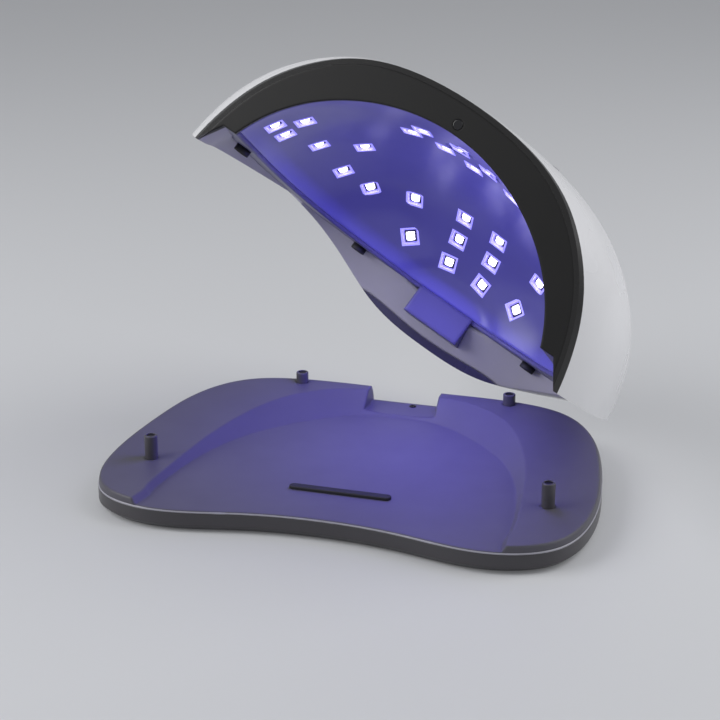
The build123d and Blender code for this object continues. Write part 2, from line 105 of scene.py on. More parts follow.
# Heights from an emitter's middle: foot of the sleeve, depth of its frame, and foot of the lens
SLEEVE_FOOT = -0.5 * MM
SLEEVE_LAP = 0.6 * MM
LENS_FOOT = 1.85 * MM

# Section of an LED's package, as half widths and heights from the emitter's middle
PACKAGE_HALVES = (3.0 * MM, 2.22 * MM, 2.22 * MM, 3.0 * MM)
PACKAGE_HEIGHTS = (-0.48 * MM, -0.48 * MM, 2.02 * MM, 1.9 * MM)

# The tray's bead: steps along it and round it, and in parts of its radius how far its middle is
# set in from the edge, how tall it is for its width, and how far it is raised
LIP_STEPS = 1440
LIP_AROUND = 12
LIP_INSET = 1.05
LIP_STRETCH = 1.2
LIP_RAISE = 0.5

# The pan's outer side is where the Z of a triangle's normal is under the first of these, and its
# edge is what lies within the second of its top
UPRIGHT = 0.35
EDGE_DEPTH = 0.01 * MM

# Each button's seconds, its X and the height of the crown there, on the closed dome in millimetres
BUTTON_Y = -26.0
BUTTON_TOPS = {"timer_button_10": ("10", -30.0, 98.62), "timer_button_30": ("30", -10.0, 100.09),
               "timer_button_60": ("60", 10.0, 100.09), "timer_button_99": ("99", 30.0, 98.62)}
NUMERAL_LIFT = 0.72
NUMERAL_DEPTH = 0.03 * MM

# The inlet's pin: its profile along Y on the closed dome, in parts of its radius, and its height
PIN_ALONG = np.array([75.2, 75.2, 82.6, 83.0, 83.0]) * MM
PIN_PROFILE = np.array([0.0, 1.0, 1.0, 0.6, 0.0])
PIN_AROUND = 24
INLET_HEIGHT = 17.5 * MM

# Turned pieces in millimetres: the places of each kind, and the radii and heights of its profile
PAN_SCREW_PLACES = np.array([(side * x, y, 2.0) for side in (-1, 1) for x, y in
                             ((90, -52), (92, 20), (44, 60))])
PAN_SCREW_RADII = np.array([0.0, 0.9, 0.9, 2.3, 2.6, 2.6, 0.0])
PAN_SCREW_HEIGHTS = -np.array([1.0, 1.0, 1.75, 1.75, 1.3, 0.0, 0.0])
NOTCH_SCREW_PLACES = np.array([(3.5, 71.5, 10.5)])
NOTCH_SCREW_RADII = np.array([0.0, 0.6, 0.6, 1.5, 1.7, 1.7, 0.0])
NOTCH_SCREW_HEIGHTS = np.array([0.2, 0.2, 0.5, 0.5, 0.3, -0.4, -0.4])
COLLAR_PLACES = np.array([(side * x, y, 25.0) for side in (-1, 1) for x, y in
                          ((96.0, -35.0), (54.7, 67.6))])
COLLAR_RADII = np.array([3.35, 3.95, 3.95, 3.7, 3.45, 3.35, 3.35])
COLLAR_HEIGHTS = np.array([0.0, 0.0, -2.8, -3.1, -3.1, -2.8, 0.0])

# The stage: half the floor's width, its faint own light where it is looked at, and the strength of
# the room's light, first on things and then where it is looked at
FLOOR_REACH = 12.0
FLOOR_SEEN = 0.13
ROOM_LIGHTING = 0.38
ROOM_SEEN = 0.5

# Softboxes: name, place, power in watts and width; they point at the middle of the object
SOFTBOXES = (("key_softbox", (-0.85, -0.45, 0.75), 8.0, 0.8),
             ("fill_softbox", (0.85, 0.25, 0.8), 7.0, 1.0))
SOFTBOX_AIM = Vector((0, 0, 0.06))

# Lights that stand for all the LEDs: name, kind, place in the closed dome and share of the power
LED_LIGHTS = (("led_wash", "AREA", Vector((0, -8, 36)) * MM, 1.0),
              ("led_cavity", "POINT", Vector((0, -5, 42)) * MM, 0.12))
LED_WASH_WIDTH = 110 * MM
LED_CAVITY_RADIUS = 30 * MM

# Left out of the LEDs' light, because the photograph shows no violet light there
NOT_LIT_BY_LEDS = ("floor", "rim_bezel")


def tilt_matrix():
    """The turn that carries the dome from its tray to the shown pose."""
    there = Matrix.Translation(TILT_POINT)
    return there @ Matrix.Rotation(TILT, 4, TILT_AXIS) @ there.inverted()


def tilted(points):
    """Points of the closed dome, carried to the shown pose."""
    pose = np.array(tilt_matrix())
    return points @ pose[:3, :3].T + pose[:3, 3]


def rows_of(items, attribute, kind=float):
    """An attribute of a mesh's points or triangles, as an array with a row of three for each."""
    values = np.zeros(len(items) * 3, dtype=kind)
    items.foreach_get(attribute, values)
    return values.reshape(-1, 3)


def linear(hex_colour):
    """An sRGB hex colour as linear RGBA."""
    value = int(hex_colour.lstrip("#"), 16)
    parts = np.array([value >> 16 & 255, value >> 8 & 255, value & 255]) / 255
    bent = np.where(parts <= 0.04045, parts / 12.92, ((parts + 0.055) / 1.055) ** 2.4)
    return (*[float(part) for part in bent], 1.0)


def add_node(tree, kind, settings=None, **links):
    """Adds a node: settings are its attributes, and links its inputs, each a value or a socket.

    An input is named as in Blender, with _ for a space, or by its number, as in i0.
    """
    made = tree.nodes.new(kind)
    for name, value in (settings or {}).items():
        setattr(made, name, value)
    for name, value in links.items():
        key = int(name[1:]) if name[1:].isdigit() else name.replace("_", " ")
        socket = made.inputs[key]
        if isinstance(value, bpy.types.NodeSocket):
            tree.links.new(value, socket)
        else:
            socket.default_value = value
    return made


def shader(name, **values):
    """A material with its Principled shader set from plain values."""
    material = bpy.data.materials.new(name)
    material.use_nodes = True
    tree = material.node_tree
    surface = tree.nodes["Principled BSDF"]
    for key, value in values.items():
        surface.inputs[key.replace("_", " ")].default_value = value
    return material, tree, surface


def moulded_grain(tree, surface, colour, shift, grain_mm, depth_mm, spot_mm, rough, edge_mm=0.4):
    """Moulded skin: rounded edges, a fine grain in the bump, and slow drifts of tone and gloss.

    The tone drifts from colour to shift, and the gloss over the two roughnesses, in spots of
    spot_mm; the grain is drawn somewhat coarser than the real one, so that it shows.
    """
    place = add_node(tree, "ShaderNodeTexCoord").outputs["Object"]
    drift = add_node(tree, "ShaderNodeTexNoise", Vector=place, Scale=1000 / spot_mm, Detail=3.0)
    tone = add_node(tree, "ShaderNodeMix", {"data_type": "RGBA"}, i0=drift.outputs["Fac"],
                    i6=linear(colour), i7=linear(shift))
    tree.links.new(tone.outputs[2], surface.inputs["Base Color"])
    gloss = add_node(tree, "ShaderNodeMapRange", Value=drift.outputs["Fac"], To_Min=rough[0],
                     To_Max=rough[1])
    tree.links.new(gloss.outputs["Result"], surface.inputs["Roughness"])
    grain = add_node(tree, "ShaderNodeTexNoise", Vector=place, Scale=1000 / grain_mm, Detail=2.0)
    bump = add_node(tree, "ShaderNodeBump", Height=grain.outputs["Fac"], Distance=depth_mm * MM,
                    Strength=0.5)
    if edge_mm:
        edges = add_node(tree, "ShaderNodeBevel", {"samples": 8}, Radius=edge_mm * MM)
        tree.links.new(edges.outputs["Normal"], bump.inputs["Normal"])
    tree.links.new(bump.outputs["Normal"], surface.inputs["Normal"])


def front_mask(tree, start_mm, end_mm):
    """0 at the dome's leaning front face and 1 behind it, rising between two depths."""
    turn = tilt_matrix()
    inward = (turn.to_3x3() @ Vector((0, 1, FRONT_LEAN))).normalized()
    origin = turn @ Vector((0, FRONT_Y, 0))
    place = add_node(tree, "ShaderNodeTexCoord").outputs["Object"]
    reach = add_node(tree, "ShaderNodeVectorMath", {"operation": "DOT_PRODUCT"}, i0=place,
                     i1=inward).outputs["Value"]
    level = inward.dot(origin)
    return add_node(tree, "ShaderNodeMapRange", Value=reach, From_Min=level + start_mm * MM,
                    From_Max=level + end_mm * MM).outputs["Result"]


def two_tones(tree, surface, near_colour, start_mm, end_mm):
    """Puts a second colour on the dome's front face, in front of the material's own."""
    own = surface.inputs["Base Color"].links[0].from_socket
    both = add_node(tree, "ShaderNodeMix", {"data_type": "RGBA"},
                    i0=front_mask(tree, start_mm, end_mm), i6=linear(near_colour), i7=own)
    tree.links.new(both.outputs[2], surface.inputs["Base Color"])


def inside_mask(tree):
    """0 on faces that look towards the middle of the dome, and 1 on those that look away."""
    middle = tilt_matrix() @ DOME_MIDDLE
    geometry = add_node(tree, "ShaderNodeNewGeometry")
    place = add_node(tree, "ShaderNodeTexCoord").outputs["Object"]
    arm = add_node(tree, "ShaderNodeVectorMath", {"operation": "SUBTRACT"}, i0=place, i1=middle)
    reach = add_node(tree, "ShaderNodeVectorMath", {"operation": "DOT_PRODUCT"},
                     i0=arm.outputs["Vector"], i1=geometry.outputs["True Normal"])
    return add_node(tree, "ShaderNodeMapRange", Value=reach.outputs["Value"], From_Min=0.0,
                    From_Max=1 * MM).outputs["Result"]


def white_shell_abs():
    """Glossy moulded ABS: near white with broad soft highlights, dark on its edge, and painted
    dark inside as the shade within the dome.

    Its grain is the slow waviness of a large gloss moulding, 22 mm from crest to crest.
    """
    material, tree, surface = shader("white_gloss_moulded_abs", IOR=1.53, Specular_IOR_Level=0.5)
    moulded_grain(tree, surface, "#EEEEF0", "#E8E8EB",
                  grain_mm=22, depth_mm=0.01, spot_mm=40, rough=(0.24, 0.3), edge_mm=0)
    outside = surface.inputs["Base Color"].links[0].from_socket
    # Faces that look into the dome are painted dark grey: painted shade on the white shell's
    # inside
    both = add_node(tree, "ShaderNodeMix", {"data_type": "RGBA"}, i0=inside_mask(tree),
                    i6=linear("#33313F"), i7=outside)
    tree.links.new(both.outputs[2], surface.inputs["Base Color"])
    two_tones(tree, surface, "#1B1A1A", 2.6, 2.8)
    return material


def charcoal_abs():
    """ABS from a textured mould: dull charcoal in front, and behind it a band painted paler and
    violet as the light it would catch.
    """
    material, tree, surface = shader("charcoal_abs_with_painted_lit_band", IOR=1.53,
                                     Specular_IOR_Level=0.35)
    # The pale violet-grey of the band behind the front is painted light, not the rim's own colour
    moulded_grain(tree, surface, "#B6B3C8", "#ACA9BE",
                  grain_mm=0.6, depth_mm=0.012, spot_mm=22, rough=(0.4, 0.5), edge_mm=1.2)
    two_tones(tree, surface, "#0E0D0D", 2.3, 3.4)
    return material


def liner_abs():
    """ABS from a polished mould, softly glossy, with the violet LED light painted on as a violet
    base colour and a faint violet glow.
    """
    # Painted light: the violet base colour and the glow stand for the LEDs' light on a white liner
    material, tree, surface = shader("painted_violet_light_liner_abs", IOR=1.5,
                                     Emission_Color=linear("#5A56B0"), Emission_Strength=0.2)
    moulded_grain(tree, surface, "#57558F", "#504E88",
                  grain_mm=1.2, depth_mm=0.004, spot_mm=26, rough=(0.26, 0.34), edge_mm=2.5)
    return material


def flange_abs():
    """Satin moulded ABS of the flange, with painted violet LED light and a faint painted glow, and
    greyer than the liner as painted shade, for it looks away from the LEDs.
    """
    # Painted light and shade: a greyed violet base colour and a faint violet glow
    material, tree, surface = shader("painted_violet_light_flange_abs", IOR=1.53,
                                     Emission_Color=linear("#5A56B0"), Emission_Strength=0.05)
    moulded_grain(tree, surface, "#4B4968", "#454361",
                  grain_mm=0.9, depth_mm=0.01, spot_mm=22, rough=(0.36, 0.46), edge_mm=3.0)
    return material


def tray_abs():
    """Grey ABS with a fine satin grain, which the violet light tints from above."""
    material, tree, surface = shader("grey_satin_moulded_abs", IOR=1.53)
    moulded_grain(tree, surface, "#52505A", "#4B4953",
                  grain_mm=0.7, depth_mm=0.012, spot_mm=24, rough=(0.42, 0.52), edge_mm=2.0)
    return material


def pan_abs():
    """Darker grey ABS of the pan below the lip, a little glossier."""
    material, tree, surface = shader("dark_grey_moulded_abs", IOR=1.53)
    moulded_grain(tree, surface, "#454347", "#3E3C40",
                  grain_mm=0.8, depth_mm=0.01, spot_mm=24, rough=(0.3, 0.4), edge_mm=1.2)
    return material


def post_abs():
    """Mid grey moulded ABS of the posts: satin, with rounded rims that catch the light."""
    material, tree, surface = shader("mid_grey_moulded_abs", IOR=1.53)
    moulded_grain(tree, surface, "#4B494F", "#434147",
                  grain_mm=0.5, depth_mm=0.01, spot_mm=8, rough=(0.34, 0.44))
    return material


def black_rubber():
    """Matt black moulded rubber: it drinks the light, with a faint paler bloom."""
    material, tree, surface = shader("black_moulded_rubber", IOR=1.52)
    moulded_grain(tree, surface, "#1C1B20", "#242329",
                  grain_mm=0.5, depth_mm=0.02, spot_mm=10, rough=(0.6, 0.72))
    return material


def dark_steel():
    """Black-nickel plated steel discs and magnets, with a soft metallic edge."""
    material, tree, surface = shader("black_nickel_plated_steel", Metallic=0.85)
    moulded_grain(tree, surface, "#34323A", "#2A2830",
                  grain_mm=0.4, depth_mm=0.004, spot_mm=5, rough=(0.32, 0.42))
    return material


def smoked_lens():
    """Smoked polished acrylic: almost black, with hard sharp reflections."""
    material, tree, surface = shader("smoked_polished_acrylic", IOR=1.49, Coat_Weight=0.6,
                                     Coat_Roughness=0.04)
    moulded_grain(tree, surface, "#08080C", "#0C0C12",
                  grain_mm=2.0, depth_mm=0.001, spot_mm=12, rough=(0.06, 0.1))
    return material


def led_board_white():
    """White solder mask on the LED boards, with a faint violet glow and lavender tint painted on
    as the light of the LEDs on it.
    """
    # The violet emission is painted LED light on the board
    material, tree, surface = shader("white_solder_mask_board", IOR=1.5,
                                     Emission_Color=linear("#9C93FF"), Emission_Strength=0.9)
    moulded_grain(tree, surface, "#DAD8F0", "#D2D0EA",
                  grain_mm=0.6, depth_mm=0.004, spot_mm=6, rough=(0.4, 0.5))
    return material


def green_board():
    """Green solder mask of the control board and the sensor board."""
    material, tree, surface = shader("green_solder_mask_board", IOR=1.5)
    moulded_grain(tree, surface, "#1E5A3A", "#1A5034",
                  grain_mm=0.6, depth_mm=0.006, spot_mm=9, rough=(0.3, 0.4))
    return material


def emitter_glow():
    """The lit phosphor-white face of an LED behind clear silicone: it reads as plain white."""
    material, tree, surface = shader("lit_silicone_led_face", IOR=1.41,
                                     Emission_Color=linear("#EDE9FF"), Emission_Strength=5.0)
    moulded_grain(tree, surface, "#F4F2FF", "#EEEBFF",
                  grain_mm=0.5, depth_mm=0.002, spot_mm=3, rough=(0.1, 0.2))
    return material


def package_edge():
    """Dark moulded rim of the LED package, which draws the thin dark line round each LED."""
    material, tree, surface = shader("dark_ceramic_led_package", IOR=1.6)
    moulded_grain(tree, surface, "#1A1830", "#211E3A",
                  grain_mm=0.4, depth_mm=0.004, spot_mm=3, rough=(0.4, 0.5))
    return material


def sleeve_white():
    """White reflector walls of the windows, with the wash of the LED inside them painted on as a
    lavender tint and a violet glow.
    """
    # The lavender tint and violet emission are painted LED light on the white reflector
    material, tree, surface = shader("white_reflector_polycarbonate", IOR=1.58,
                                     Emission_Color=linear("#8F86FF"), Emission_Strength=0.75)
    moulded_grain(tree, surface, "#D9D6FA", "#CFCBF4",
                  grain_mm=0.5, depth_mm=0.003, spot_mm=4, rough=(0.3, 0.4))
    return material


def panel_abs():
    """Light grey panel moulding in the crown."""
    material, tree, surface = shader("light_grey_satin_moulded_abs", IOR=1.53)
    moulded_grain(tree, surface, "#C2C2C6", "#BABABF",
                  grain_mm=0.7, depth_mm=0.01, spot_mm=20, rough=(0.34, 0.42))
    return material


def button_abs():
    """Mid grey button caps with a fine satin grain."""
    material, tree, surface = shader("mid_grey_satin_button_abs", IOR=1.53)
    moulded_grain(tree, surface, "#55555B", "#4D4D53",
                  grain_mm=0.5, depth_mm=0.01, spot_mm=7, rough=(0.36, 0.46))
    return material


def black_abs():
    """Black moulded housing plastic of the inlet, the switches and the display module."""
    material, tree, surface = shader("black_moulded_pbt", IOR=1.57)
    moulded_grain(tree, surface, "#18181A", "#1F1F22",
                  grain_mm=0.5, depth_mm=0.01, spot_mm=8, rough=(0.4, 0.5))
    return material


def painted_highlight_lip():
    """The parting edge of the tray, painted pale as a thin highlight line where the light would
    catch it.
    """
    # The pale grey is a painted highlight along the lip
    material, tree, surface = shader("painted_highlight_parting_lip", IOR=1.53)
    moulded_grain(tree, surface, "#A9A8B2", "#9D9CA8",
                  grain_mm=1.0, depth_mm=0.002, spot_mm=15, rough=(0.16, 0.24))
    return material


def white_ink():
    """White printed numerals on the buttons."""
    material, tree, surface = shader("white_pad_printing_ink", IOR=1.5)
    moulded_grain(tree, surface, "#ECECEC", "#E2E2E2",
                  grain_mm=0.3, depth_mm=0.002, spot_mm=4, rough=(0.5, 0.6))
    return material


def smooth_by_angle():
    """A node modifier: merge what coincides, then smooth all but the creases."""
    tree = bpy.data.node_groups.new("smooth_by_angle", "GeometryNodeTree")
    tree.interface.new_socket("Geometry", in_out="INPUT", socket_type="NodeSocketGeometry")
    tree.interface.new_socket("Geometry", in_out="OUTPUT", socket_type="NodeSocketGeometry")
    start = add_node(tree, "NodeGroupInput")
    merged = add_node(tree, "GeometryNodeMergeByDistance", Geometry=start.outputs[0],
                      Distance=CAD_MERGE)
    round_all = add_node(tree, "GeometryNodeSetShadeSmooth", {"domain": "FACE"},
                         i0=merged.outputs[0], i2=True)
    angle = add_node(tree, "GeometryNodeInputMeshEdgeAngle")
    soft = add_node(tree, "FunctionNodeCompare", {"operation": "LESS_THAN"},
                    i0=angle.outputs["Unsigned Angle"], i1=CREASE)
    creased = add_node(tree, "GeometryNodeSetShadeSmooth", {"domain": "EDGE"},
                       i0=round_all.outputs[0], i2=soft.outputs[0])
    add_node(tree, "NodeGroupOutput", Geometry=creased.outputs[0])
    return tree


def weld(mesh):
    """Merges points that coincide, which closes poles and seams."""
    shape = bmesh.new()
    shape.from_mesh(mesh)
    bmesh.ops.remove_doubles(shape, verts=shape.verts, dist=NEW_MERGE)
    shape.to_mesh(mesh)
    shape.free()


def mesh_piece(name, points, faces, material, smooth=True):
    """A new mesh object at the origin, from arrays of points and faces."""
    mesh = bpy.data.meshes.new(name)
    mesh.from_pydata(np.asarray(points, float).tolist(), [], [list(face) for face in faces])
    weld(mesh)
    mesh.polygons.foreach_set("use_smooth", np.full(len(mesh.polygons), smooth))
    mesh.materials.append(material)
    piece = bpy.data.objects.new(name, mesh)
    bpy.context.scene.collection.objects.link(piece)
    return piece


def grid_faces(rows, columns, close_rows=False, close_columns=False):
    """Quads of a grid of rows by columns, wrapped round where asked."""
    row = np.arange(rows if close_rows else rows - 1)
    column = np.arange(columns if close_columns else columns - 1)
    r, c = np.meshgrid(row, column, indexing="ij")
    r2, c2 = (r + 1) % rows, (c + 1) % columns
    quads = (r * columns + c, r * columns + c2, r2 * columns + c2, r2 * columns + c)
    return np.stack([quad.ravel() for quad in quads], axis=1)


def led_places(group):
    """Centre, facing direction and two sides of each LED, read from the emitter boxes of a node.

    Corners within reach of each other get the lowest of their labels, and after as many sweeps as
    a box has corners each box has one label. Its centre is the mean of its corners. The facing
    direction is the one in which they scatter least, turned towards the middle of the dome, and
    the first side is the edge whose length is nearest to the emitter's.
    """
    corners = rows_of(frame["nodes"][f"led_emitters_{group}"].data.vertices, "co")
    corners = np.unique(corners.round(6), axis=0)
    near = np.linalg.norm(corners[:, None] - corners[None], axis=2) < LED_REACH
    label = np.arange(len(corners))
    for sweep in range(8):
        label = np.where(near, label[None], len(corners)).min(axis=1)
    middle = np.array(tilt_matrix() @ DOME_MIDDLE)
    for key in np.unique(label):
        box = corners[label == key]
        centre = box.mean(axis=0)
        normal = np.linalg.svd(box - centre)[2][2]
        normal = normal if normal @ (middle - centre) > 0 else -normal
        edges = box[1:] - box[0]
        edge = edges[np.argsort(np.abs(np.linalg.norm(edges, axis=1) - LED_SIDE))[0]]
        side = edge - normal * (edge @ normal)
        side /= np.linalg.norm(side)
        yield centre, normal, side, np.cross(normal, side)


def square_rings(places, halves, heights):
    """Square rings about each place, one for each half width and height, as a closed profile.

    A ring's corner is centre + half * (s * side + t * other) + height * normal, where (s, t) runs
    round the four corners; rings joined in order sweep the profile round the square.
    """
    turn = np.array([(-1, -1), (1, -1), (1, 1), (-1, 1)])
    points, faces = [], []
    for centre, normal, side, other in places:
        profile = [centre + half * (turn @ np.array([side, other])) + height * normal
                   for half, height in zip(halves, heights)]
        rings = np.stack(profile, axis=1)
        faces.append(grid_faces(4, len(halves), True, True) + 4 * len(halves) * len(points))
        points.append(rings.reshape(-1, 3))
    return np.concatenate(points), np.concatenate(faces)


def lens_caps(places, radius, height, rings=7, around=24):
    """Squarish domed lenses over the LED faces, each closed by a flat foot.

    A point is base + radius * root(cos(a)) * (side * u + other * v) + height * sin(a) * normal,
    with a from the foot to the crown, b once round, and u and v the square roots of cos(b) and
    sin(b) with their signs kept.
    """
    rise = np.linspace(0, np.pi / 2, rings, endpoint=False)
    turn = np.linspace(0, 2 * np.pi, around, endpoint=False)
    flat = np.stack([np.cos(turn), np.sin(turn)], axis=1)
    flat = np.sign(flat) * np.sqrt(np.abs(flat))
    side_faces = grid_faces(rings, around, False, True)
    last = rings * around
    crown = np.arange(around) + (rings - 1) * around
    crown_faces = np.stack([crown, np.roll(crown, -1), np.full(around, last)], axis=1)
    foot = np.arange(around)
    foot_faces = np.stack([np.roll(foot, -1), foot, np.full(around, last + 1)], axis=1)
    points, faces = [], []
    for index, (centre, normal, side, other) in enumerate(places):
        base = centre + LENS_FOOT * normal
        disc = flat @ np.array([side, other])
        body = (base + radius * np.sqrt(np.cos(rise))[:, None, None] * disc
                + height * np.sin(rise)[:, None, None] * normal)
        points.append(np.concatenate([body.reshape(-1, 3), [base + height * normal], [base]]))
        start = index * (last + 2)
        faces += (side_faces + start).tolist() + (crown_faces + start).tolist()
        faces += (foot_faces + start).tolist()
    return np.concatenate(points), faces


def turned(radii, heights, places, around=24):
    """A profile of radii and heights, in millimetres, turned about the upright at each place.

    A point is place + (radius * cos(b), radius * sin(b), height), with b once round, and b runs
    the other way for a profile drawn clockwise, so that its faces point outwards.
    """
    lap = np.linspace(0, 2 * np.pi, around, endpoint=False)
    swept = radii * np.roll(heights, -1) - np.roll(radii, -1) * heights
    lap = -lap if swept.sum() < 0 else lap
    ring = np.stack([radii[:, None] * np.cos(lap), radii[:, None] * np.sin(lap),
                     np.broadcast_to(heights[:, None], (len(radii), around))], axis=2)
    points = (places[:, None, None] + ring).reshape(-1, 3) * MM
    quads = grid_faces(len(radii), around, False, True)
    steps = np.arange(len(places))[:, None, None] * ring.shape[0] * around
    return points, (quads + steps).reshape(-1, 4)


class LampLook(bpy.types.PropertyGroup):
    """Sizes and colours of the fine pieces."""

    sleeve_half: bpy.props.FloatProperty(
        name="Sleeve half width", description="Half the outer width of a window sleeve",
        default=3.97 * MM, unit="LENGTH")
    sleeve_wall: bpy.props.FloatProperty(
        name="Sleeve wall", description="Thickness of a window sleeve", default=0.25 * MM,
        unit="LENGTH")
    sleeve_height: bpy.props.FloatProperty(
        name="Sleeve height", description="Height of a sleeve from its foot", default=3.95 * MM,
        unit="LENGTH")
    sleeve_frame: bpy.props.FloatProperty(
        name="Sleeve frame", description="Width of the frame that laps onto the liner",
        default=0.7 * MM, unit="LENGTH")
    lens_radius: bpy.props.FloatProperty(
        name="Lens radius", description="Radius of an LED's silicone lens", default=2.15 * MM,
        unit="LENGTH")
    lens_height: bpy.props.FloatProperty(
        name="Lens height", description="Height of an LED's silicone lens", default=1.2 * MM,
        unit="LENGTH")
    lip_radius: bpy.props.FloatProperty(
        name="Lip radius", description="Radius of the bead on the tray's parting edge",
        default=0.45 * MM, unit="LENGTH")
    numeral_size: bpy.props.FloatProperty(
        name="Numeral size", description="Type size of the printed numerals", default=4.6 * MM,
        unit="LENGTH")
    pin_radius: bpy.props.FloatProperty(
        name="Pin radius", description="Radius of the inlet's centre pin", default=1.0 * MM,
        unit="LENGTH")
    glow_power: bpy.props.FloatProperty(
        name="LED light", description="Power of the violet light under the dome", default=0.42,
        min=0)
    glow_colour: bpy.props.FloatVectorProperty(
        name="LED colour", description="Colour of the violet light", subtype="COLOR", size=3,
        default=linear("#867CFF")[:3])
    floor_colour: bpy.props.FloatVectorProperty(
        name="Floor colour", description="Colour of the plain floor", subtype="COLOR", size=3,
        default=linear("#C6C7CA")[:3])


class LAMP_OT_finishes(bpy.types.Operator):
    """Give every CAD node its material and smooth shading"""

    bl_idname = "lamp.finishes"
    bl_label = "Finishes"

    def execute(self, context):
        made = {
            "tray_top": tray_abs(), "tray_pan": pan_abs(), "heel_bar": black_rubber(),
            "rubber_feet": black_rubber(), "post_magnets": dark_steel(),
            "strike_plates": dark_steel(), "top_shell": white_shell_abs(),
            "rim_bezel": charcoal_abs(), "led_liner": liner_abs(), "liner_flange": flange_abs(),
            "sensor_lens": smoked_lens(), "sensor_board": green_board(),
            "power_inlet": black_abs(), "control_panel": panel_abs(),
            "display_window": smoked_lens(), "display_module": black_abs(),
            "control_board": green_board(), "tact_switches": black_abs(),
        }
        for group in LED_GROUPS:
            made[f"led_boards_{group}"] = led_board_white()
            made[f"led_emitters_{group}"] = emitter_glow()
        smoothing = smooth_by_angle()
        for name, node in frame["nodes"].items():
            finish = made.get(name)
            if finish is None:
                finish = button_abs() if name.startswith("timer_button") else post_abs()
            node.data.materials.clear()
            node.data.materials.append(finish)
            node.modifiers.new("smooth", "NODES").node_group = smoothing
        return {"FINISHED"}


class LAMP_OT_led_sleeves(bpy.types.Operator):
    """Line each LED window with a white reflector sleeve, framed where it meets the liner"""

    bl_idname = "lamp.led_sleeves"
    bl_label = "LED sleeves"

    def execute(self, context):
        look = context.scene.lamp_look
        finish = sleeve_white()
        inner = look.sleeve_half - look.sleeve_wall
        wide = look.sleeve_half + look.sleeve_frame
        top = SLEEVE_FOOT + look.sleeve_height
        lap = top - SLEEVE_LAP
        halves = (look.sleeve_half, inner, inner, wide, wide, look.sleeve_half)
        heights = (SLEEVE_FOOT, SLEEVE_FOOT, top, top, lap, lap)
        for group in LED_GROUPS:
            points, faces = square_rings(list(led_places(group)), halves, heights)
            piece = mesh_piece(f"led_sleeves_{group}", points, faces, finish, False)
            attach(piece, "dome")
        return {"FINISHED"}


class LAMP_OT_led_packages(bpy.types.Operator):
    """Frame each LED with the dark edge of its package"""

    bl_idname = "lamp.led_packages"
    bl_label = "LED packages"

    def execute(self, context):
        finish = package_edge()
        for group in LED_GROUPS:
            points, faces = square_rings(list(led_places(group)), PACKAGE_HALVES, PACKAGE_HEIGHTS)
            piece = mesh_piece(f"led_packages_{group}", points, faces, finish, False)
            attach(piece, "dome")
        return {"FINISHED"}


class LAMP_OT_led_lenses(bpy.types.Operator):
    """Cap each LED with its clear silicone lens"""

    bl_idname = "lamp.led_lenses"
    bl_label = "LED lenses"

    def execute(self, context):
        look = context.scene.lamp_look
        finish = emitter_glow()
        for group in LED_GROUPS:
            points, faces = lens_caps(list(led_places(group)), look.lens_radius, look.lens_height)
            piece = mesh_piece(f"led_lenses_{group}", points, faces, finish)
            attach(piece, "dome")
        return {"FINISHED"}


class LAMP_OT_tray_lip(bpy.types.Operator):
    """Run a thin bead, painted pale as a highlight, round the tray's parting edge"""

    bl_idname = "lamp.tray_lip"
    bl_label = "Tray lip"

    def execute(self, context):
        # A point is path(a) + outward(a) * radius * (cos(b) - inset), raised over the edge by
        # radius * stretch * (sin(b) + raise), with a once round the tray and b round the bead
        radius = context.scene.lamp_look.lip_radius
        top, path = self.parting_path()
        ahead = np.roll(path, -1, axis=0) - np.roll(path, 1, axis=0)
        ahead /= np.linalg.norm(ahead, axis=1)[:, None]
        outward = np.stack([ahead[:, 1], -ahead[:, 0]], axis=1)
        lap = np.linspace(0, -2 * np.pi, LIP_AROUND, endpoint=False)
        across = radius * (np.cos(lap) - LIP_INSET)
        rings = path[:, None] + outward[:, None] * across[None, :, None]
        rise = radius * LIP_STRETCH * (np.sin(lap) + LIP_RAISE)
        heights = np.broadcast_to(top + rise, rings.shape[:2])
        tube = np.concatenate([rings, heights[..., None]], axis=2)
        piece = mesh_piece("tray_lip", tube.reshape(-1, 3),
                           grid_faces(LIP_STEPS, LIP_AROUND, True, True), painted_highlight_lip())
        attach(piece, "tray")
        return {"FINISHED"}

    def parting_path(self):
        """Height of the pan's top edge, and even steps round its outer side there.

        A step is radius(a) * (cos(a), sin(a)), with the radius read off between the points of the
        edge. Those are the highest points of the upright triangles that look away from the middle.
        """
        mesh = frame["nodes"]["tray_pan"].data
        points = rows_of(mesh.vertices, "co")
        corners = rows_of(mesh.polygons, "vertices", int)
        normals = rows_of(mesh.polygons, "normal")
        facing = (normals[:, :2] * points[corners].mean(axis=1)[:, :2]).sum(axis=1)
        upright = np.abs(normals[:, 2]) < UPRIGHT
        used = points[np.unique(corners[upright & (facing > 0)])]
        top = used[:, 2].max()
        edge = used[used[:, 2] > top - EDGE_DEPTH]
        angle = np.arctan2(edge[:, 1], edge[:, 0])
        order = np.argsort(angle)
        around = np.linspace(-np.pi, np.pi, LIP_STEPS, endpoint=False)
        radius = np.interp(around, angle[order], np.hypot(edge[:, 0], edge[:, 1])[order],
                           period=2 * np.pi)
        return top, np.stack([radius * np.cos(around), radius * np.sin(around)], axis=1)


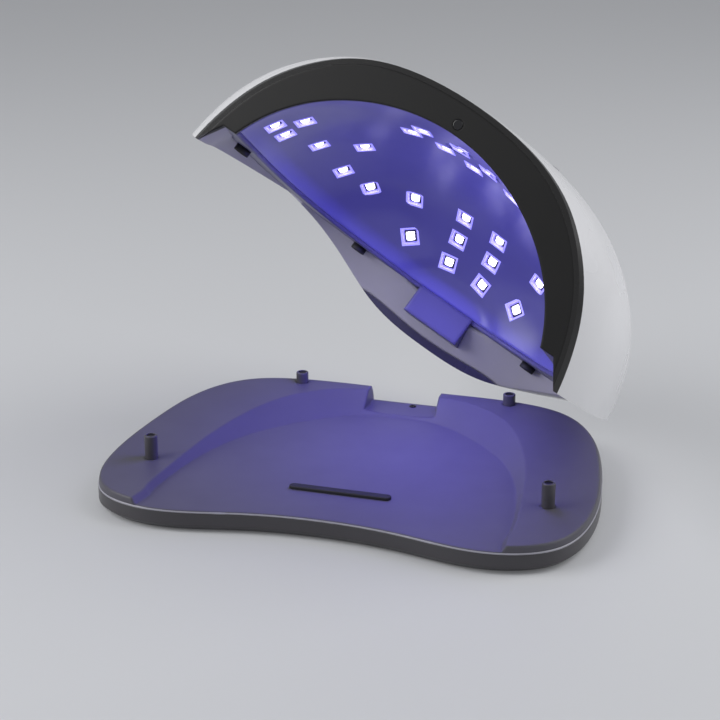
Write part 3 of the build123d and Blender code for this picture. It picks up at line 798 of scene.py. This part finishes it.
class LAMP_OT_numerals(bpy.types.Operator):
    """Print the seconds on each timer button"""

    bl_idname = "lamp.numerals"
    bl_label = "Numerals"

    def execute(self, context):
        look = context.scene.lamp_look
        finish = white_ink()
        turn = tilt_matrix()
        for body, (seconds, x, crown) in BUTTON_TOPS.items():
            curve = bpy.data.curves.new("numeral", "FONT")
            curve.body = seconds
            curve.size = look.numeral_size
            curve.align_x = "CENTER"
            curve.align_y = "CENTER"
            curve.extrude = NUMERAL_DEPTH
            holder = bpy.data.objects.new("numeral", curve)
            mesh = bpy.data.meshes.new_from_object(holder)
            weld(mesh)
            place = Vector((x * MM, BUTTON_Y * MM, (crown + NUMERAL_LIFT) * MM))
            mesh.transform(turn @ Matrix.Translation(place))
            mesh.materials.clear()
            mesh.materials.append(finish)
            piece = bpy.data.objects.new(f"numeral_{seconds}", mesh)
            context.scene.collection.objects.link(piece)
            bpy.data.objects.remove(holder)
            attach(piece, body)
        return {"FINISHED"}


class LAMP_OT_inlet_pin(bpy.types.Operator):
    """Set the centre pin in the power inlet"""

    bl_idname = "lamp.inlet_pin"
    bl_label = "Inlet pin"

    def execute(self, context):
        # A point is (radius * cos(b), along, height + radius * sin(b)), with b once round the pin
        radii = PIN_PROFILE * context.scene.lamp_look.pin_radius
        lap = np.linspace(0, -2 * np.pi, PIN_AROUND, endpoint=False)
        grid = (len(PIN_ALONG), PIN_AROUND)
        rings = np.stack([radii[:, None] * np.cos(lap), np.broadcast_to(PIN_ALONG[:, None], grid),
                          INLET_HEIGHT + radii[:, None] * np.sin(lap)], axis=2)
        piece = mesh_piece("inlet_pin", tilted(rings.reshape(-1, 3)),
                           grid_faces(*grid, False, True), dark_steel())
        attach(piece, "dome")
        return {"FINISHED"}


class LAMP_OT_screws(bpy.types.Operator):
    """Seat the screws: six in the pan's counterbores and one in the notch of the tray"""

    bl_idname = "lamp.screws"
    bl_label = "Screws"

    def execute(self, context):
        finish = dark_steel()
        pan = turned(PAN_SCREW_RADII, PAN_SCREW_HEIGHTS, PAN_SCREW_PLACES)
        notch = turned(NOTCH_SCREW_RADII, NOTCH_SCREW_HEIGHTS, NOTCH_SCREW_PLACES)
        for name, (points, faces) in (("pan_screws", pan), ("notch_screw", notch)):
            piece = mesh_piece(name, points, faces, finish)
            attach(piece, "tray")
        return {"FINISHED"}


class LAMP_OT_post_collars(bpy.types.Operator):
    """Ring each strike plate with the rubber collar that centres the post's tip"""

    bl_idname = "lamp.post_collars"
    bl_label = "Post collars"

    def execute(self, context):
        points, faces = turned(COLLAR_RADII, COLLAR_HEIGHTS, COLLAR_PLACES)
        piece = mesh_piece("post_collars", tilted(points), faces, black_rubber())
        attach(piece, "dome")
        return {"FINISHED"}


class LAMP_OT_stage(bpy.types.Operator):
    """Set the floor, the soft lights, the LED light and the camera"""

    bl_idname = "lamp.stage"
    bl_label = "Stage"

    def execute(self, context):
        look = context.scene.lamp_look
        scene = context.scene
        scene.view_settings.view_transform = "Standard"
        self.make_floor(look)
        self.make_room()
        self.make_lights(look)
        camera = bpy.data.objects.new("camera", bpy.data.cameras.new("camera"))
        scene.collection.objects.link(camera)
        back = Vector((math.sin(CAMERA_AZIMUTH) * math.cos(CAMERA_ELEVATION),
                       -math.cos(CAMERA_AZIMUTH) * math.cos(CAMERA_ELEVATION),
                       math.sin(CAMERA_ELEVATION)))
        camera.data.lens = CAMERA_LENS
        camera.data.sensor_width = CAMERA_SENSOR
        camera.data.clip_start = CAMERA_NEAR
        camera.location = CAMERA_TARGET + back * CAMERA_DISTANCE
        camera.rotation_euler = (-back).to_track_quat("-Z", "Y").to_euler()
        scene.camera = camera
        return {"FINISHED"}

    def make_floor(self, look):
        """A wide plain floor at the level of the rubber feet's undersides."""
        material, tree, surface = shader("pale_matt_painted_floor", Roughness=0.55,
                                         Base_Color=(*look.floor_colour, 1))
        turn = np.array([(-1, -1), (1, -1), (1, 1), (-1, 1)]) * FLOOR_REACH
        corners = np.column_stack([turn, np.full(4, CAD_BOX[0][2])])
        floor = mesh_piece("floor", corners, [(0, 1, 2, 3)], material, False)
        surface.inputs["Emission Color"].default_value = (*look.floor_colour, 1)
        tree.links.new(self.seen_strength(tree, 0.0, FLOOR_SEEN),
                       surface.inputs["Emission Strength"])

    def make_room(self):
        """A plain pale room, whose light on things and whose look have strengths of their own."""
        world = bpy.data.worlds.new("soft_room")
        world.use_nodes = True
        room = world.node_tree
        background = room.nodes["Background"]
        background.inputs["Color"].default_value = linear("#E4E6EA")
        room.links.new(self.seen_strength(room, ROOM_LIGHTING, ROOM_SEEN),
                       background.inputs["Strength"])
        bpy.context.scene.world = world

    def seen_strength(self, tree, lighting, seen):
        """One strength for the light that falls on things and another where it is looked at."""
        rays = add_node(tree, "ShaderNodeLightPath").outputs
        plain = add_node(tree, "ShaderNodeMath", {"operation": "MAXIMUM"},
                         i0=rays["Is Camera Ray"], i1=rays["Is Glossy Ray"])
        either = add_node(tree, "ShaderNodeMath", {"operation": "MAXIMUM"},
                          i0=plain.outputs["Value"], i1=rays["Is Transmission Ray"])
        return add_node(tree, "ShaderNodeMapRange", Value=either.outputs["Value"], To_Min=lighting,
                        To_Max=seen).outputs["Result"]

    def make_lights(self, look):
        """Two large softboxes and the violet light of the LEDs inside the dome."""
        for name, place, power, size in SOFTBOXES:
            light = bpy.data.lights.new(name, "AREA")
            light.energy = power
            light.size = size
            lamp = bpy.data.objects.new(name, light)
            bpy.context.scene.collection.objects.link(lamp)
            lamp.location = place
            aim = SOFTBOX_AIM - lamp.location
            lamp.rotation_euler = aim.to_track_quat("-Z", "Y").to_euler()
        lit = bpy.data.collections.new("lit_by_leds")
        for thing in bpy.context.scene.objects:
            if thing.type == "MESH" and thing.name not in NOT_LIT_BY_LEDS:
                lit.objects.link(thing)
        turn = tilt_matrix()
        for name, kind, place, share in LED_LIGHTS:
            light = bpy.data.lights.new(name, kind)
            light.energy = look.glow_power * share
            light.color = look.glow_colour
            lamp = bpy.data.objects.new(name, light)
            bpy.context.scene.collection.objects.link(lamp)
            lamp.location = turn @ place
            lamp.rotation_euler = turn.to_euler()
            lamp.visible_camera = False
            lamp.visible_glossy = kind == "POINT"
            lamp.light_linking.receiver_collection = lit
            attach(lamp, "dome")
            if kind == "AREA":
                light.shape = "DISK"
                light.size = LED_WASH_WIDTH
            else:
                light.shadow_soft_size = LED_CAVITY_RADIUS


class LAMP_PT_panel(bpy.types.Panel):
    """The lamp's steps in the sidebar"""

    bl_idname = "LAMP_PT_panel"
    bl_label = "Nail lamp"
    bl_space_type = "VIEW_3D"
    bl_region_type = "UI"
    bl_category = "Nail lamp"

    def draw(self, context):
        for step in STEPS:
            self.layout.operator(step.bl_idname)
        for name in LampLook.__annotations__:
            self.layout.prop(context.scene.lamp_look, name)


STEPS = (LAMP_OT_finishes, LAMP_OT_led_sleeves, LAMP_OT_led_packages, LAMP_OT_led_lenses,
         LAMP_OT_tray_lip, LAMP_OT_numerals, LAMP_OT_inlet_pin, LAMP_OT_screws,
         LAMP_OT_post_collars, LAMP_OT_stage)


def register():
    """Registers the add-on's classes and its settings."""
    for part in (LampLook, *STEPS, LAMP_PT_panel):
        bpy.utils.register_class(part)
    bpy.types.Scene.lamp_look = bpy.props.PointerProperty(type=LampLook)


def unregister():
    """Takes the add-on's settings and classes away again."""
    del bpy.types.Scene.lamp_look
    for part in reversed((LampLook, *STEPS, LAMP_PT_panel)):
        bpy.utils.unregister_class(part)


def main():
    register()
    bpy.ops.lamp.finishes()
    bpy.ops.lamp.led_sleeves()
    bpy.ops.lamp.led_packages()
    bpy.ops.lamp.led_lenses()
    bpy.ops.lamp.tray_lip()
    bpy.ops.lamp.numerals()
    bpy.ops.lamp.inlet_pin()
    bpy.ops.lamp.screws()
    bpy.ops.lamp.post_collars()
    bpy.ops.lamp.stage()


if __name__ == "__main__":
    main()
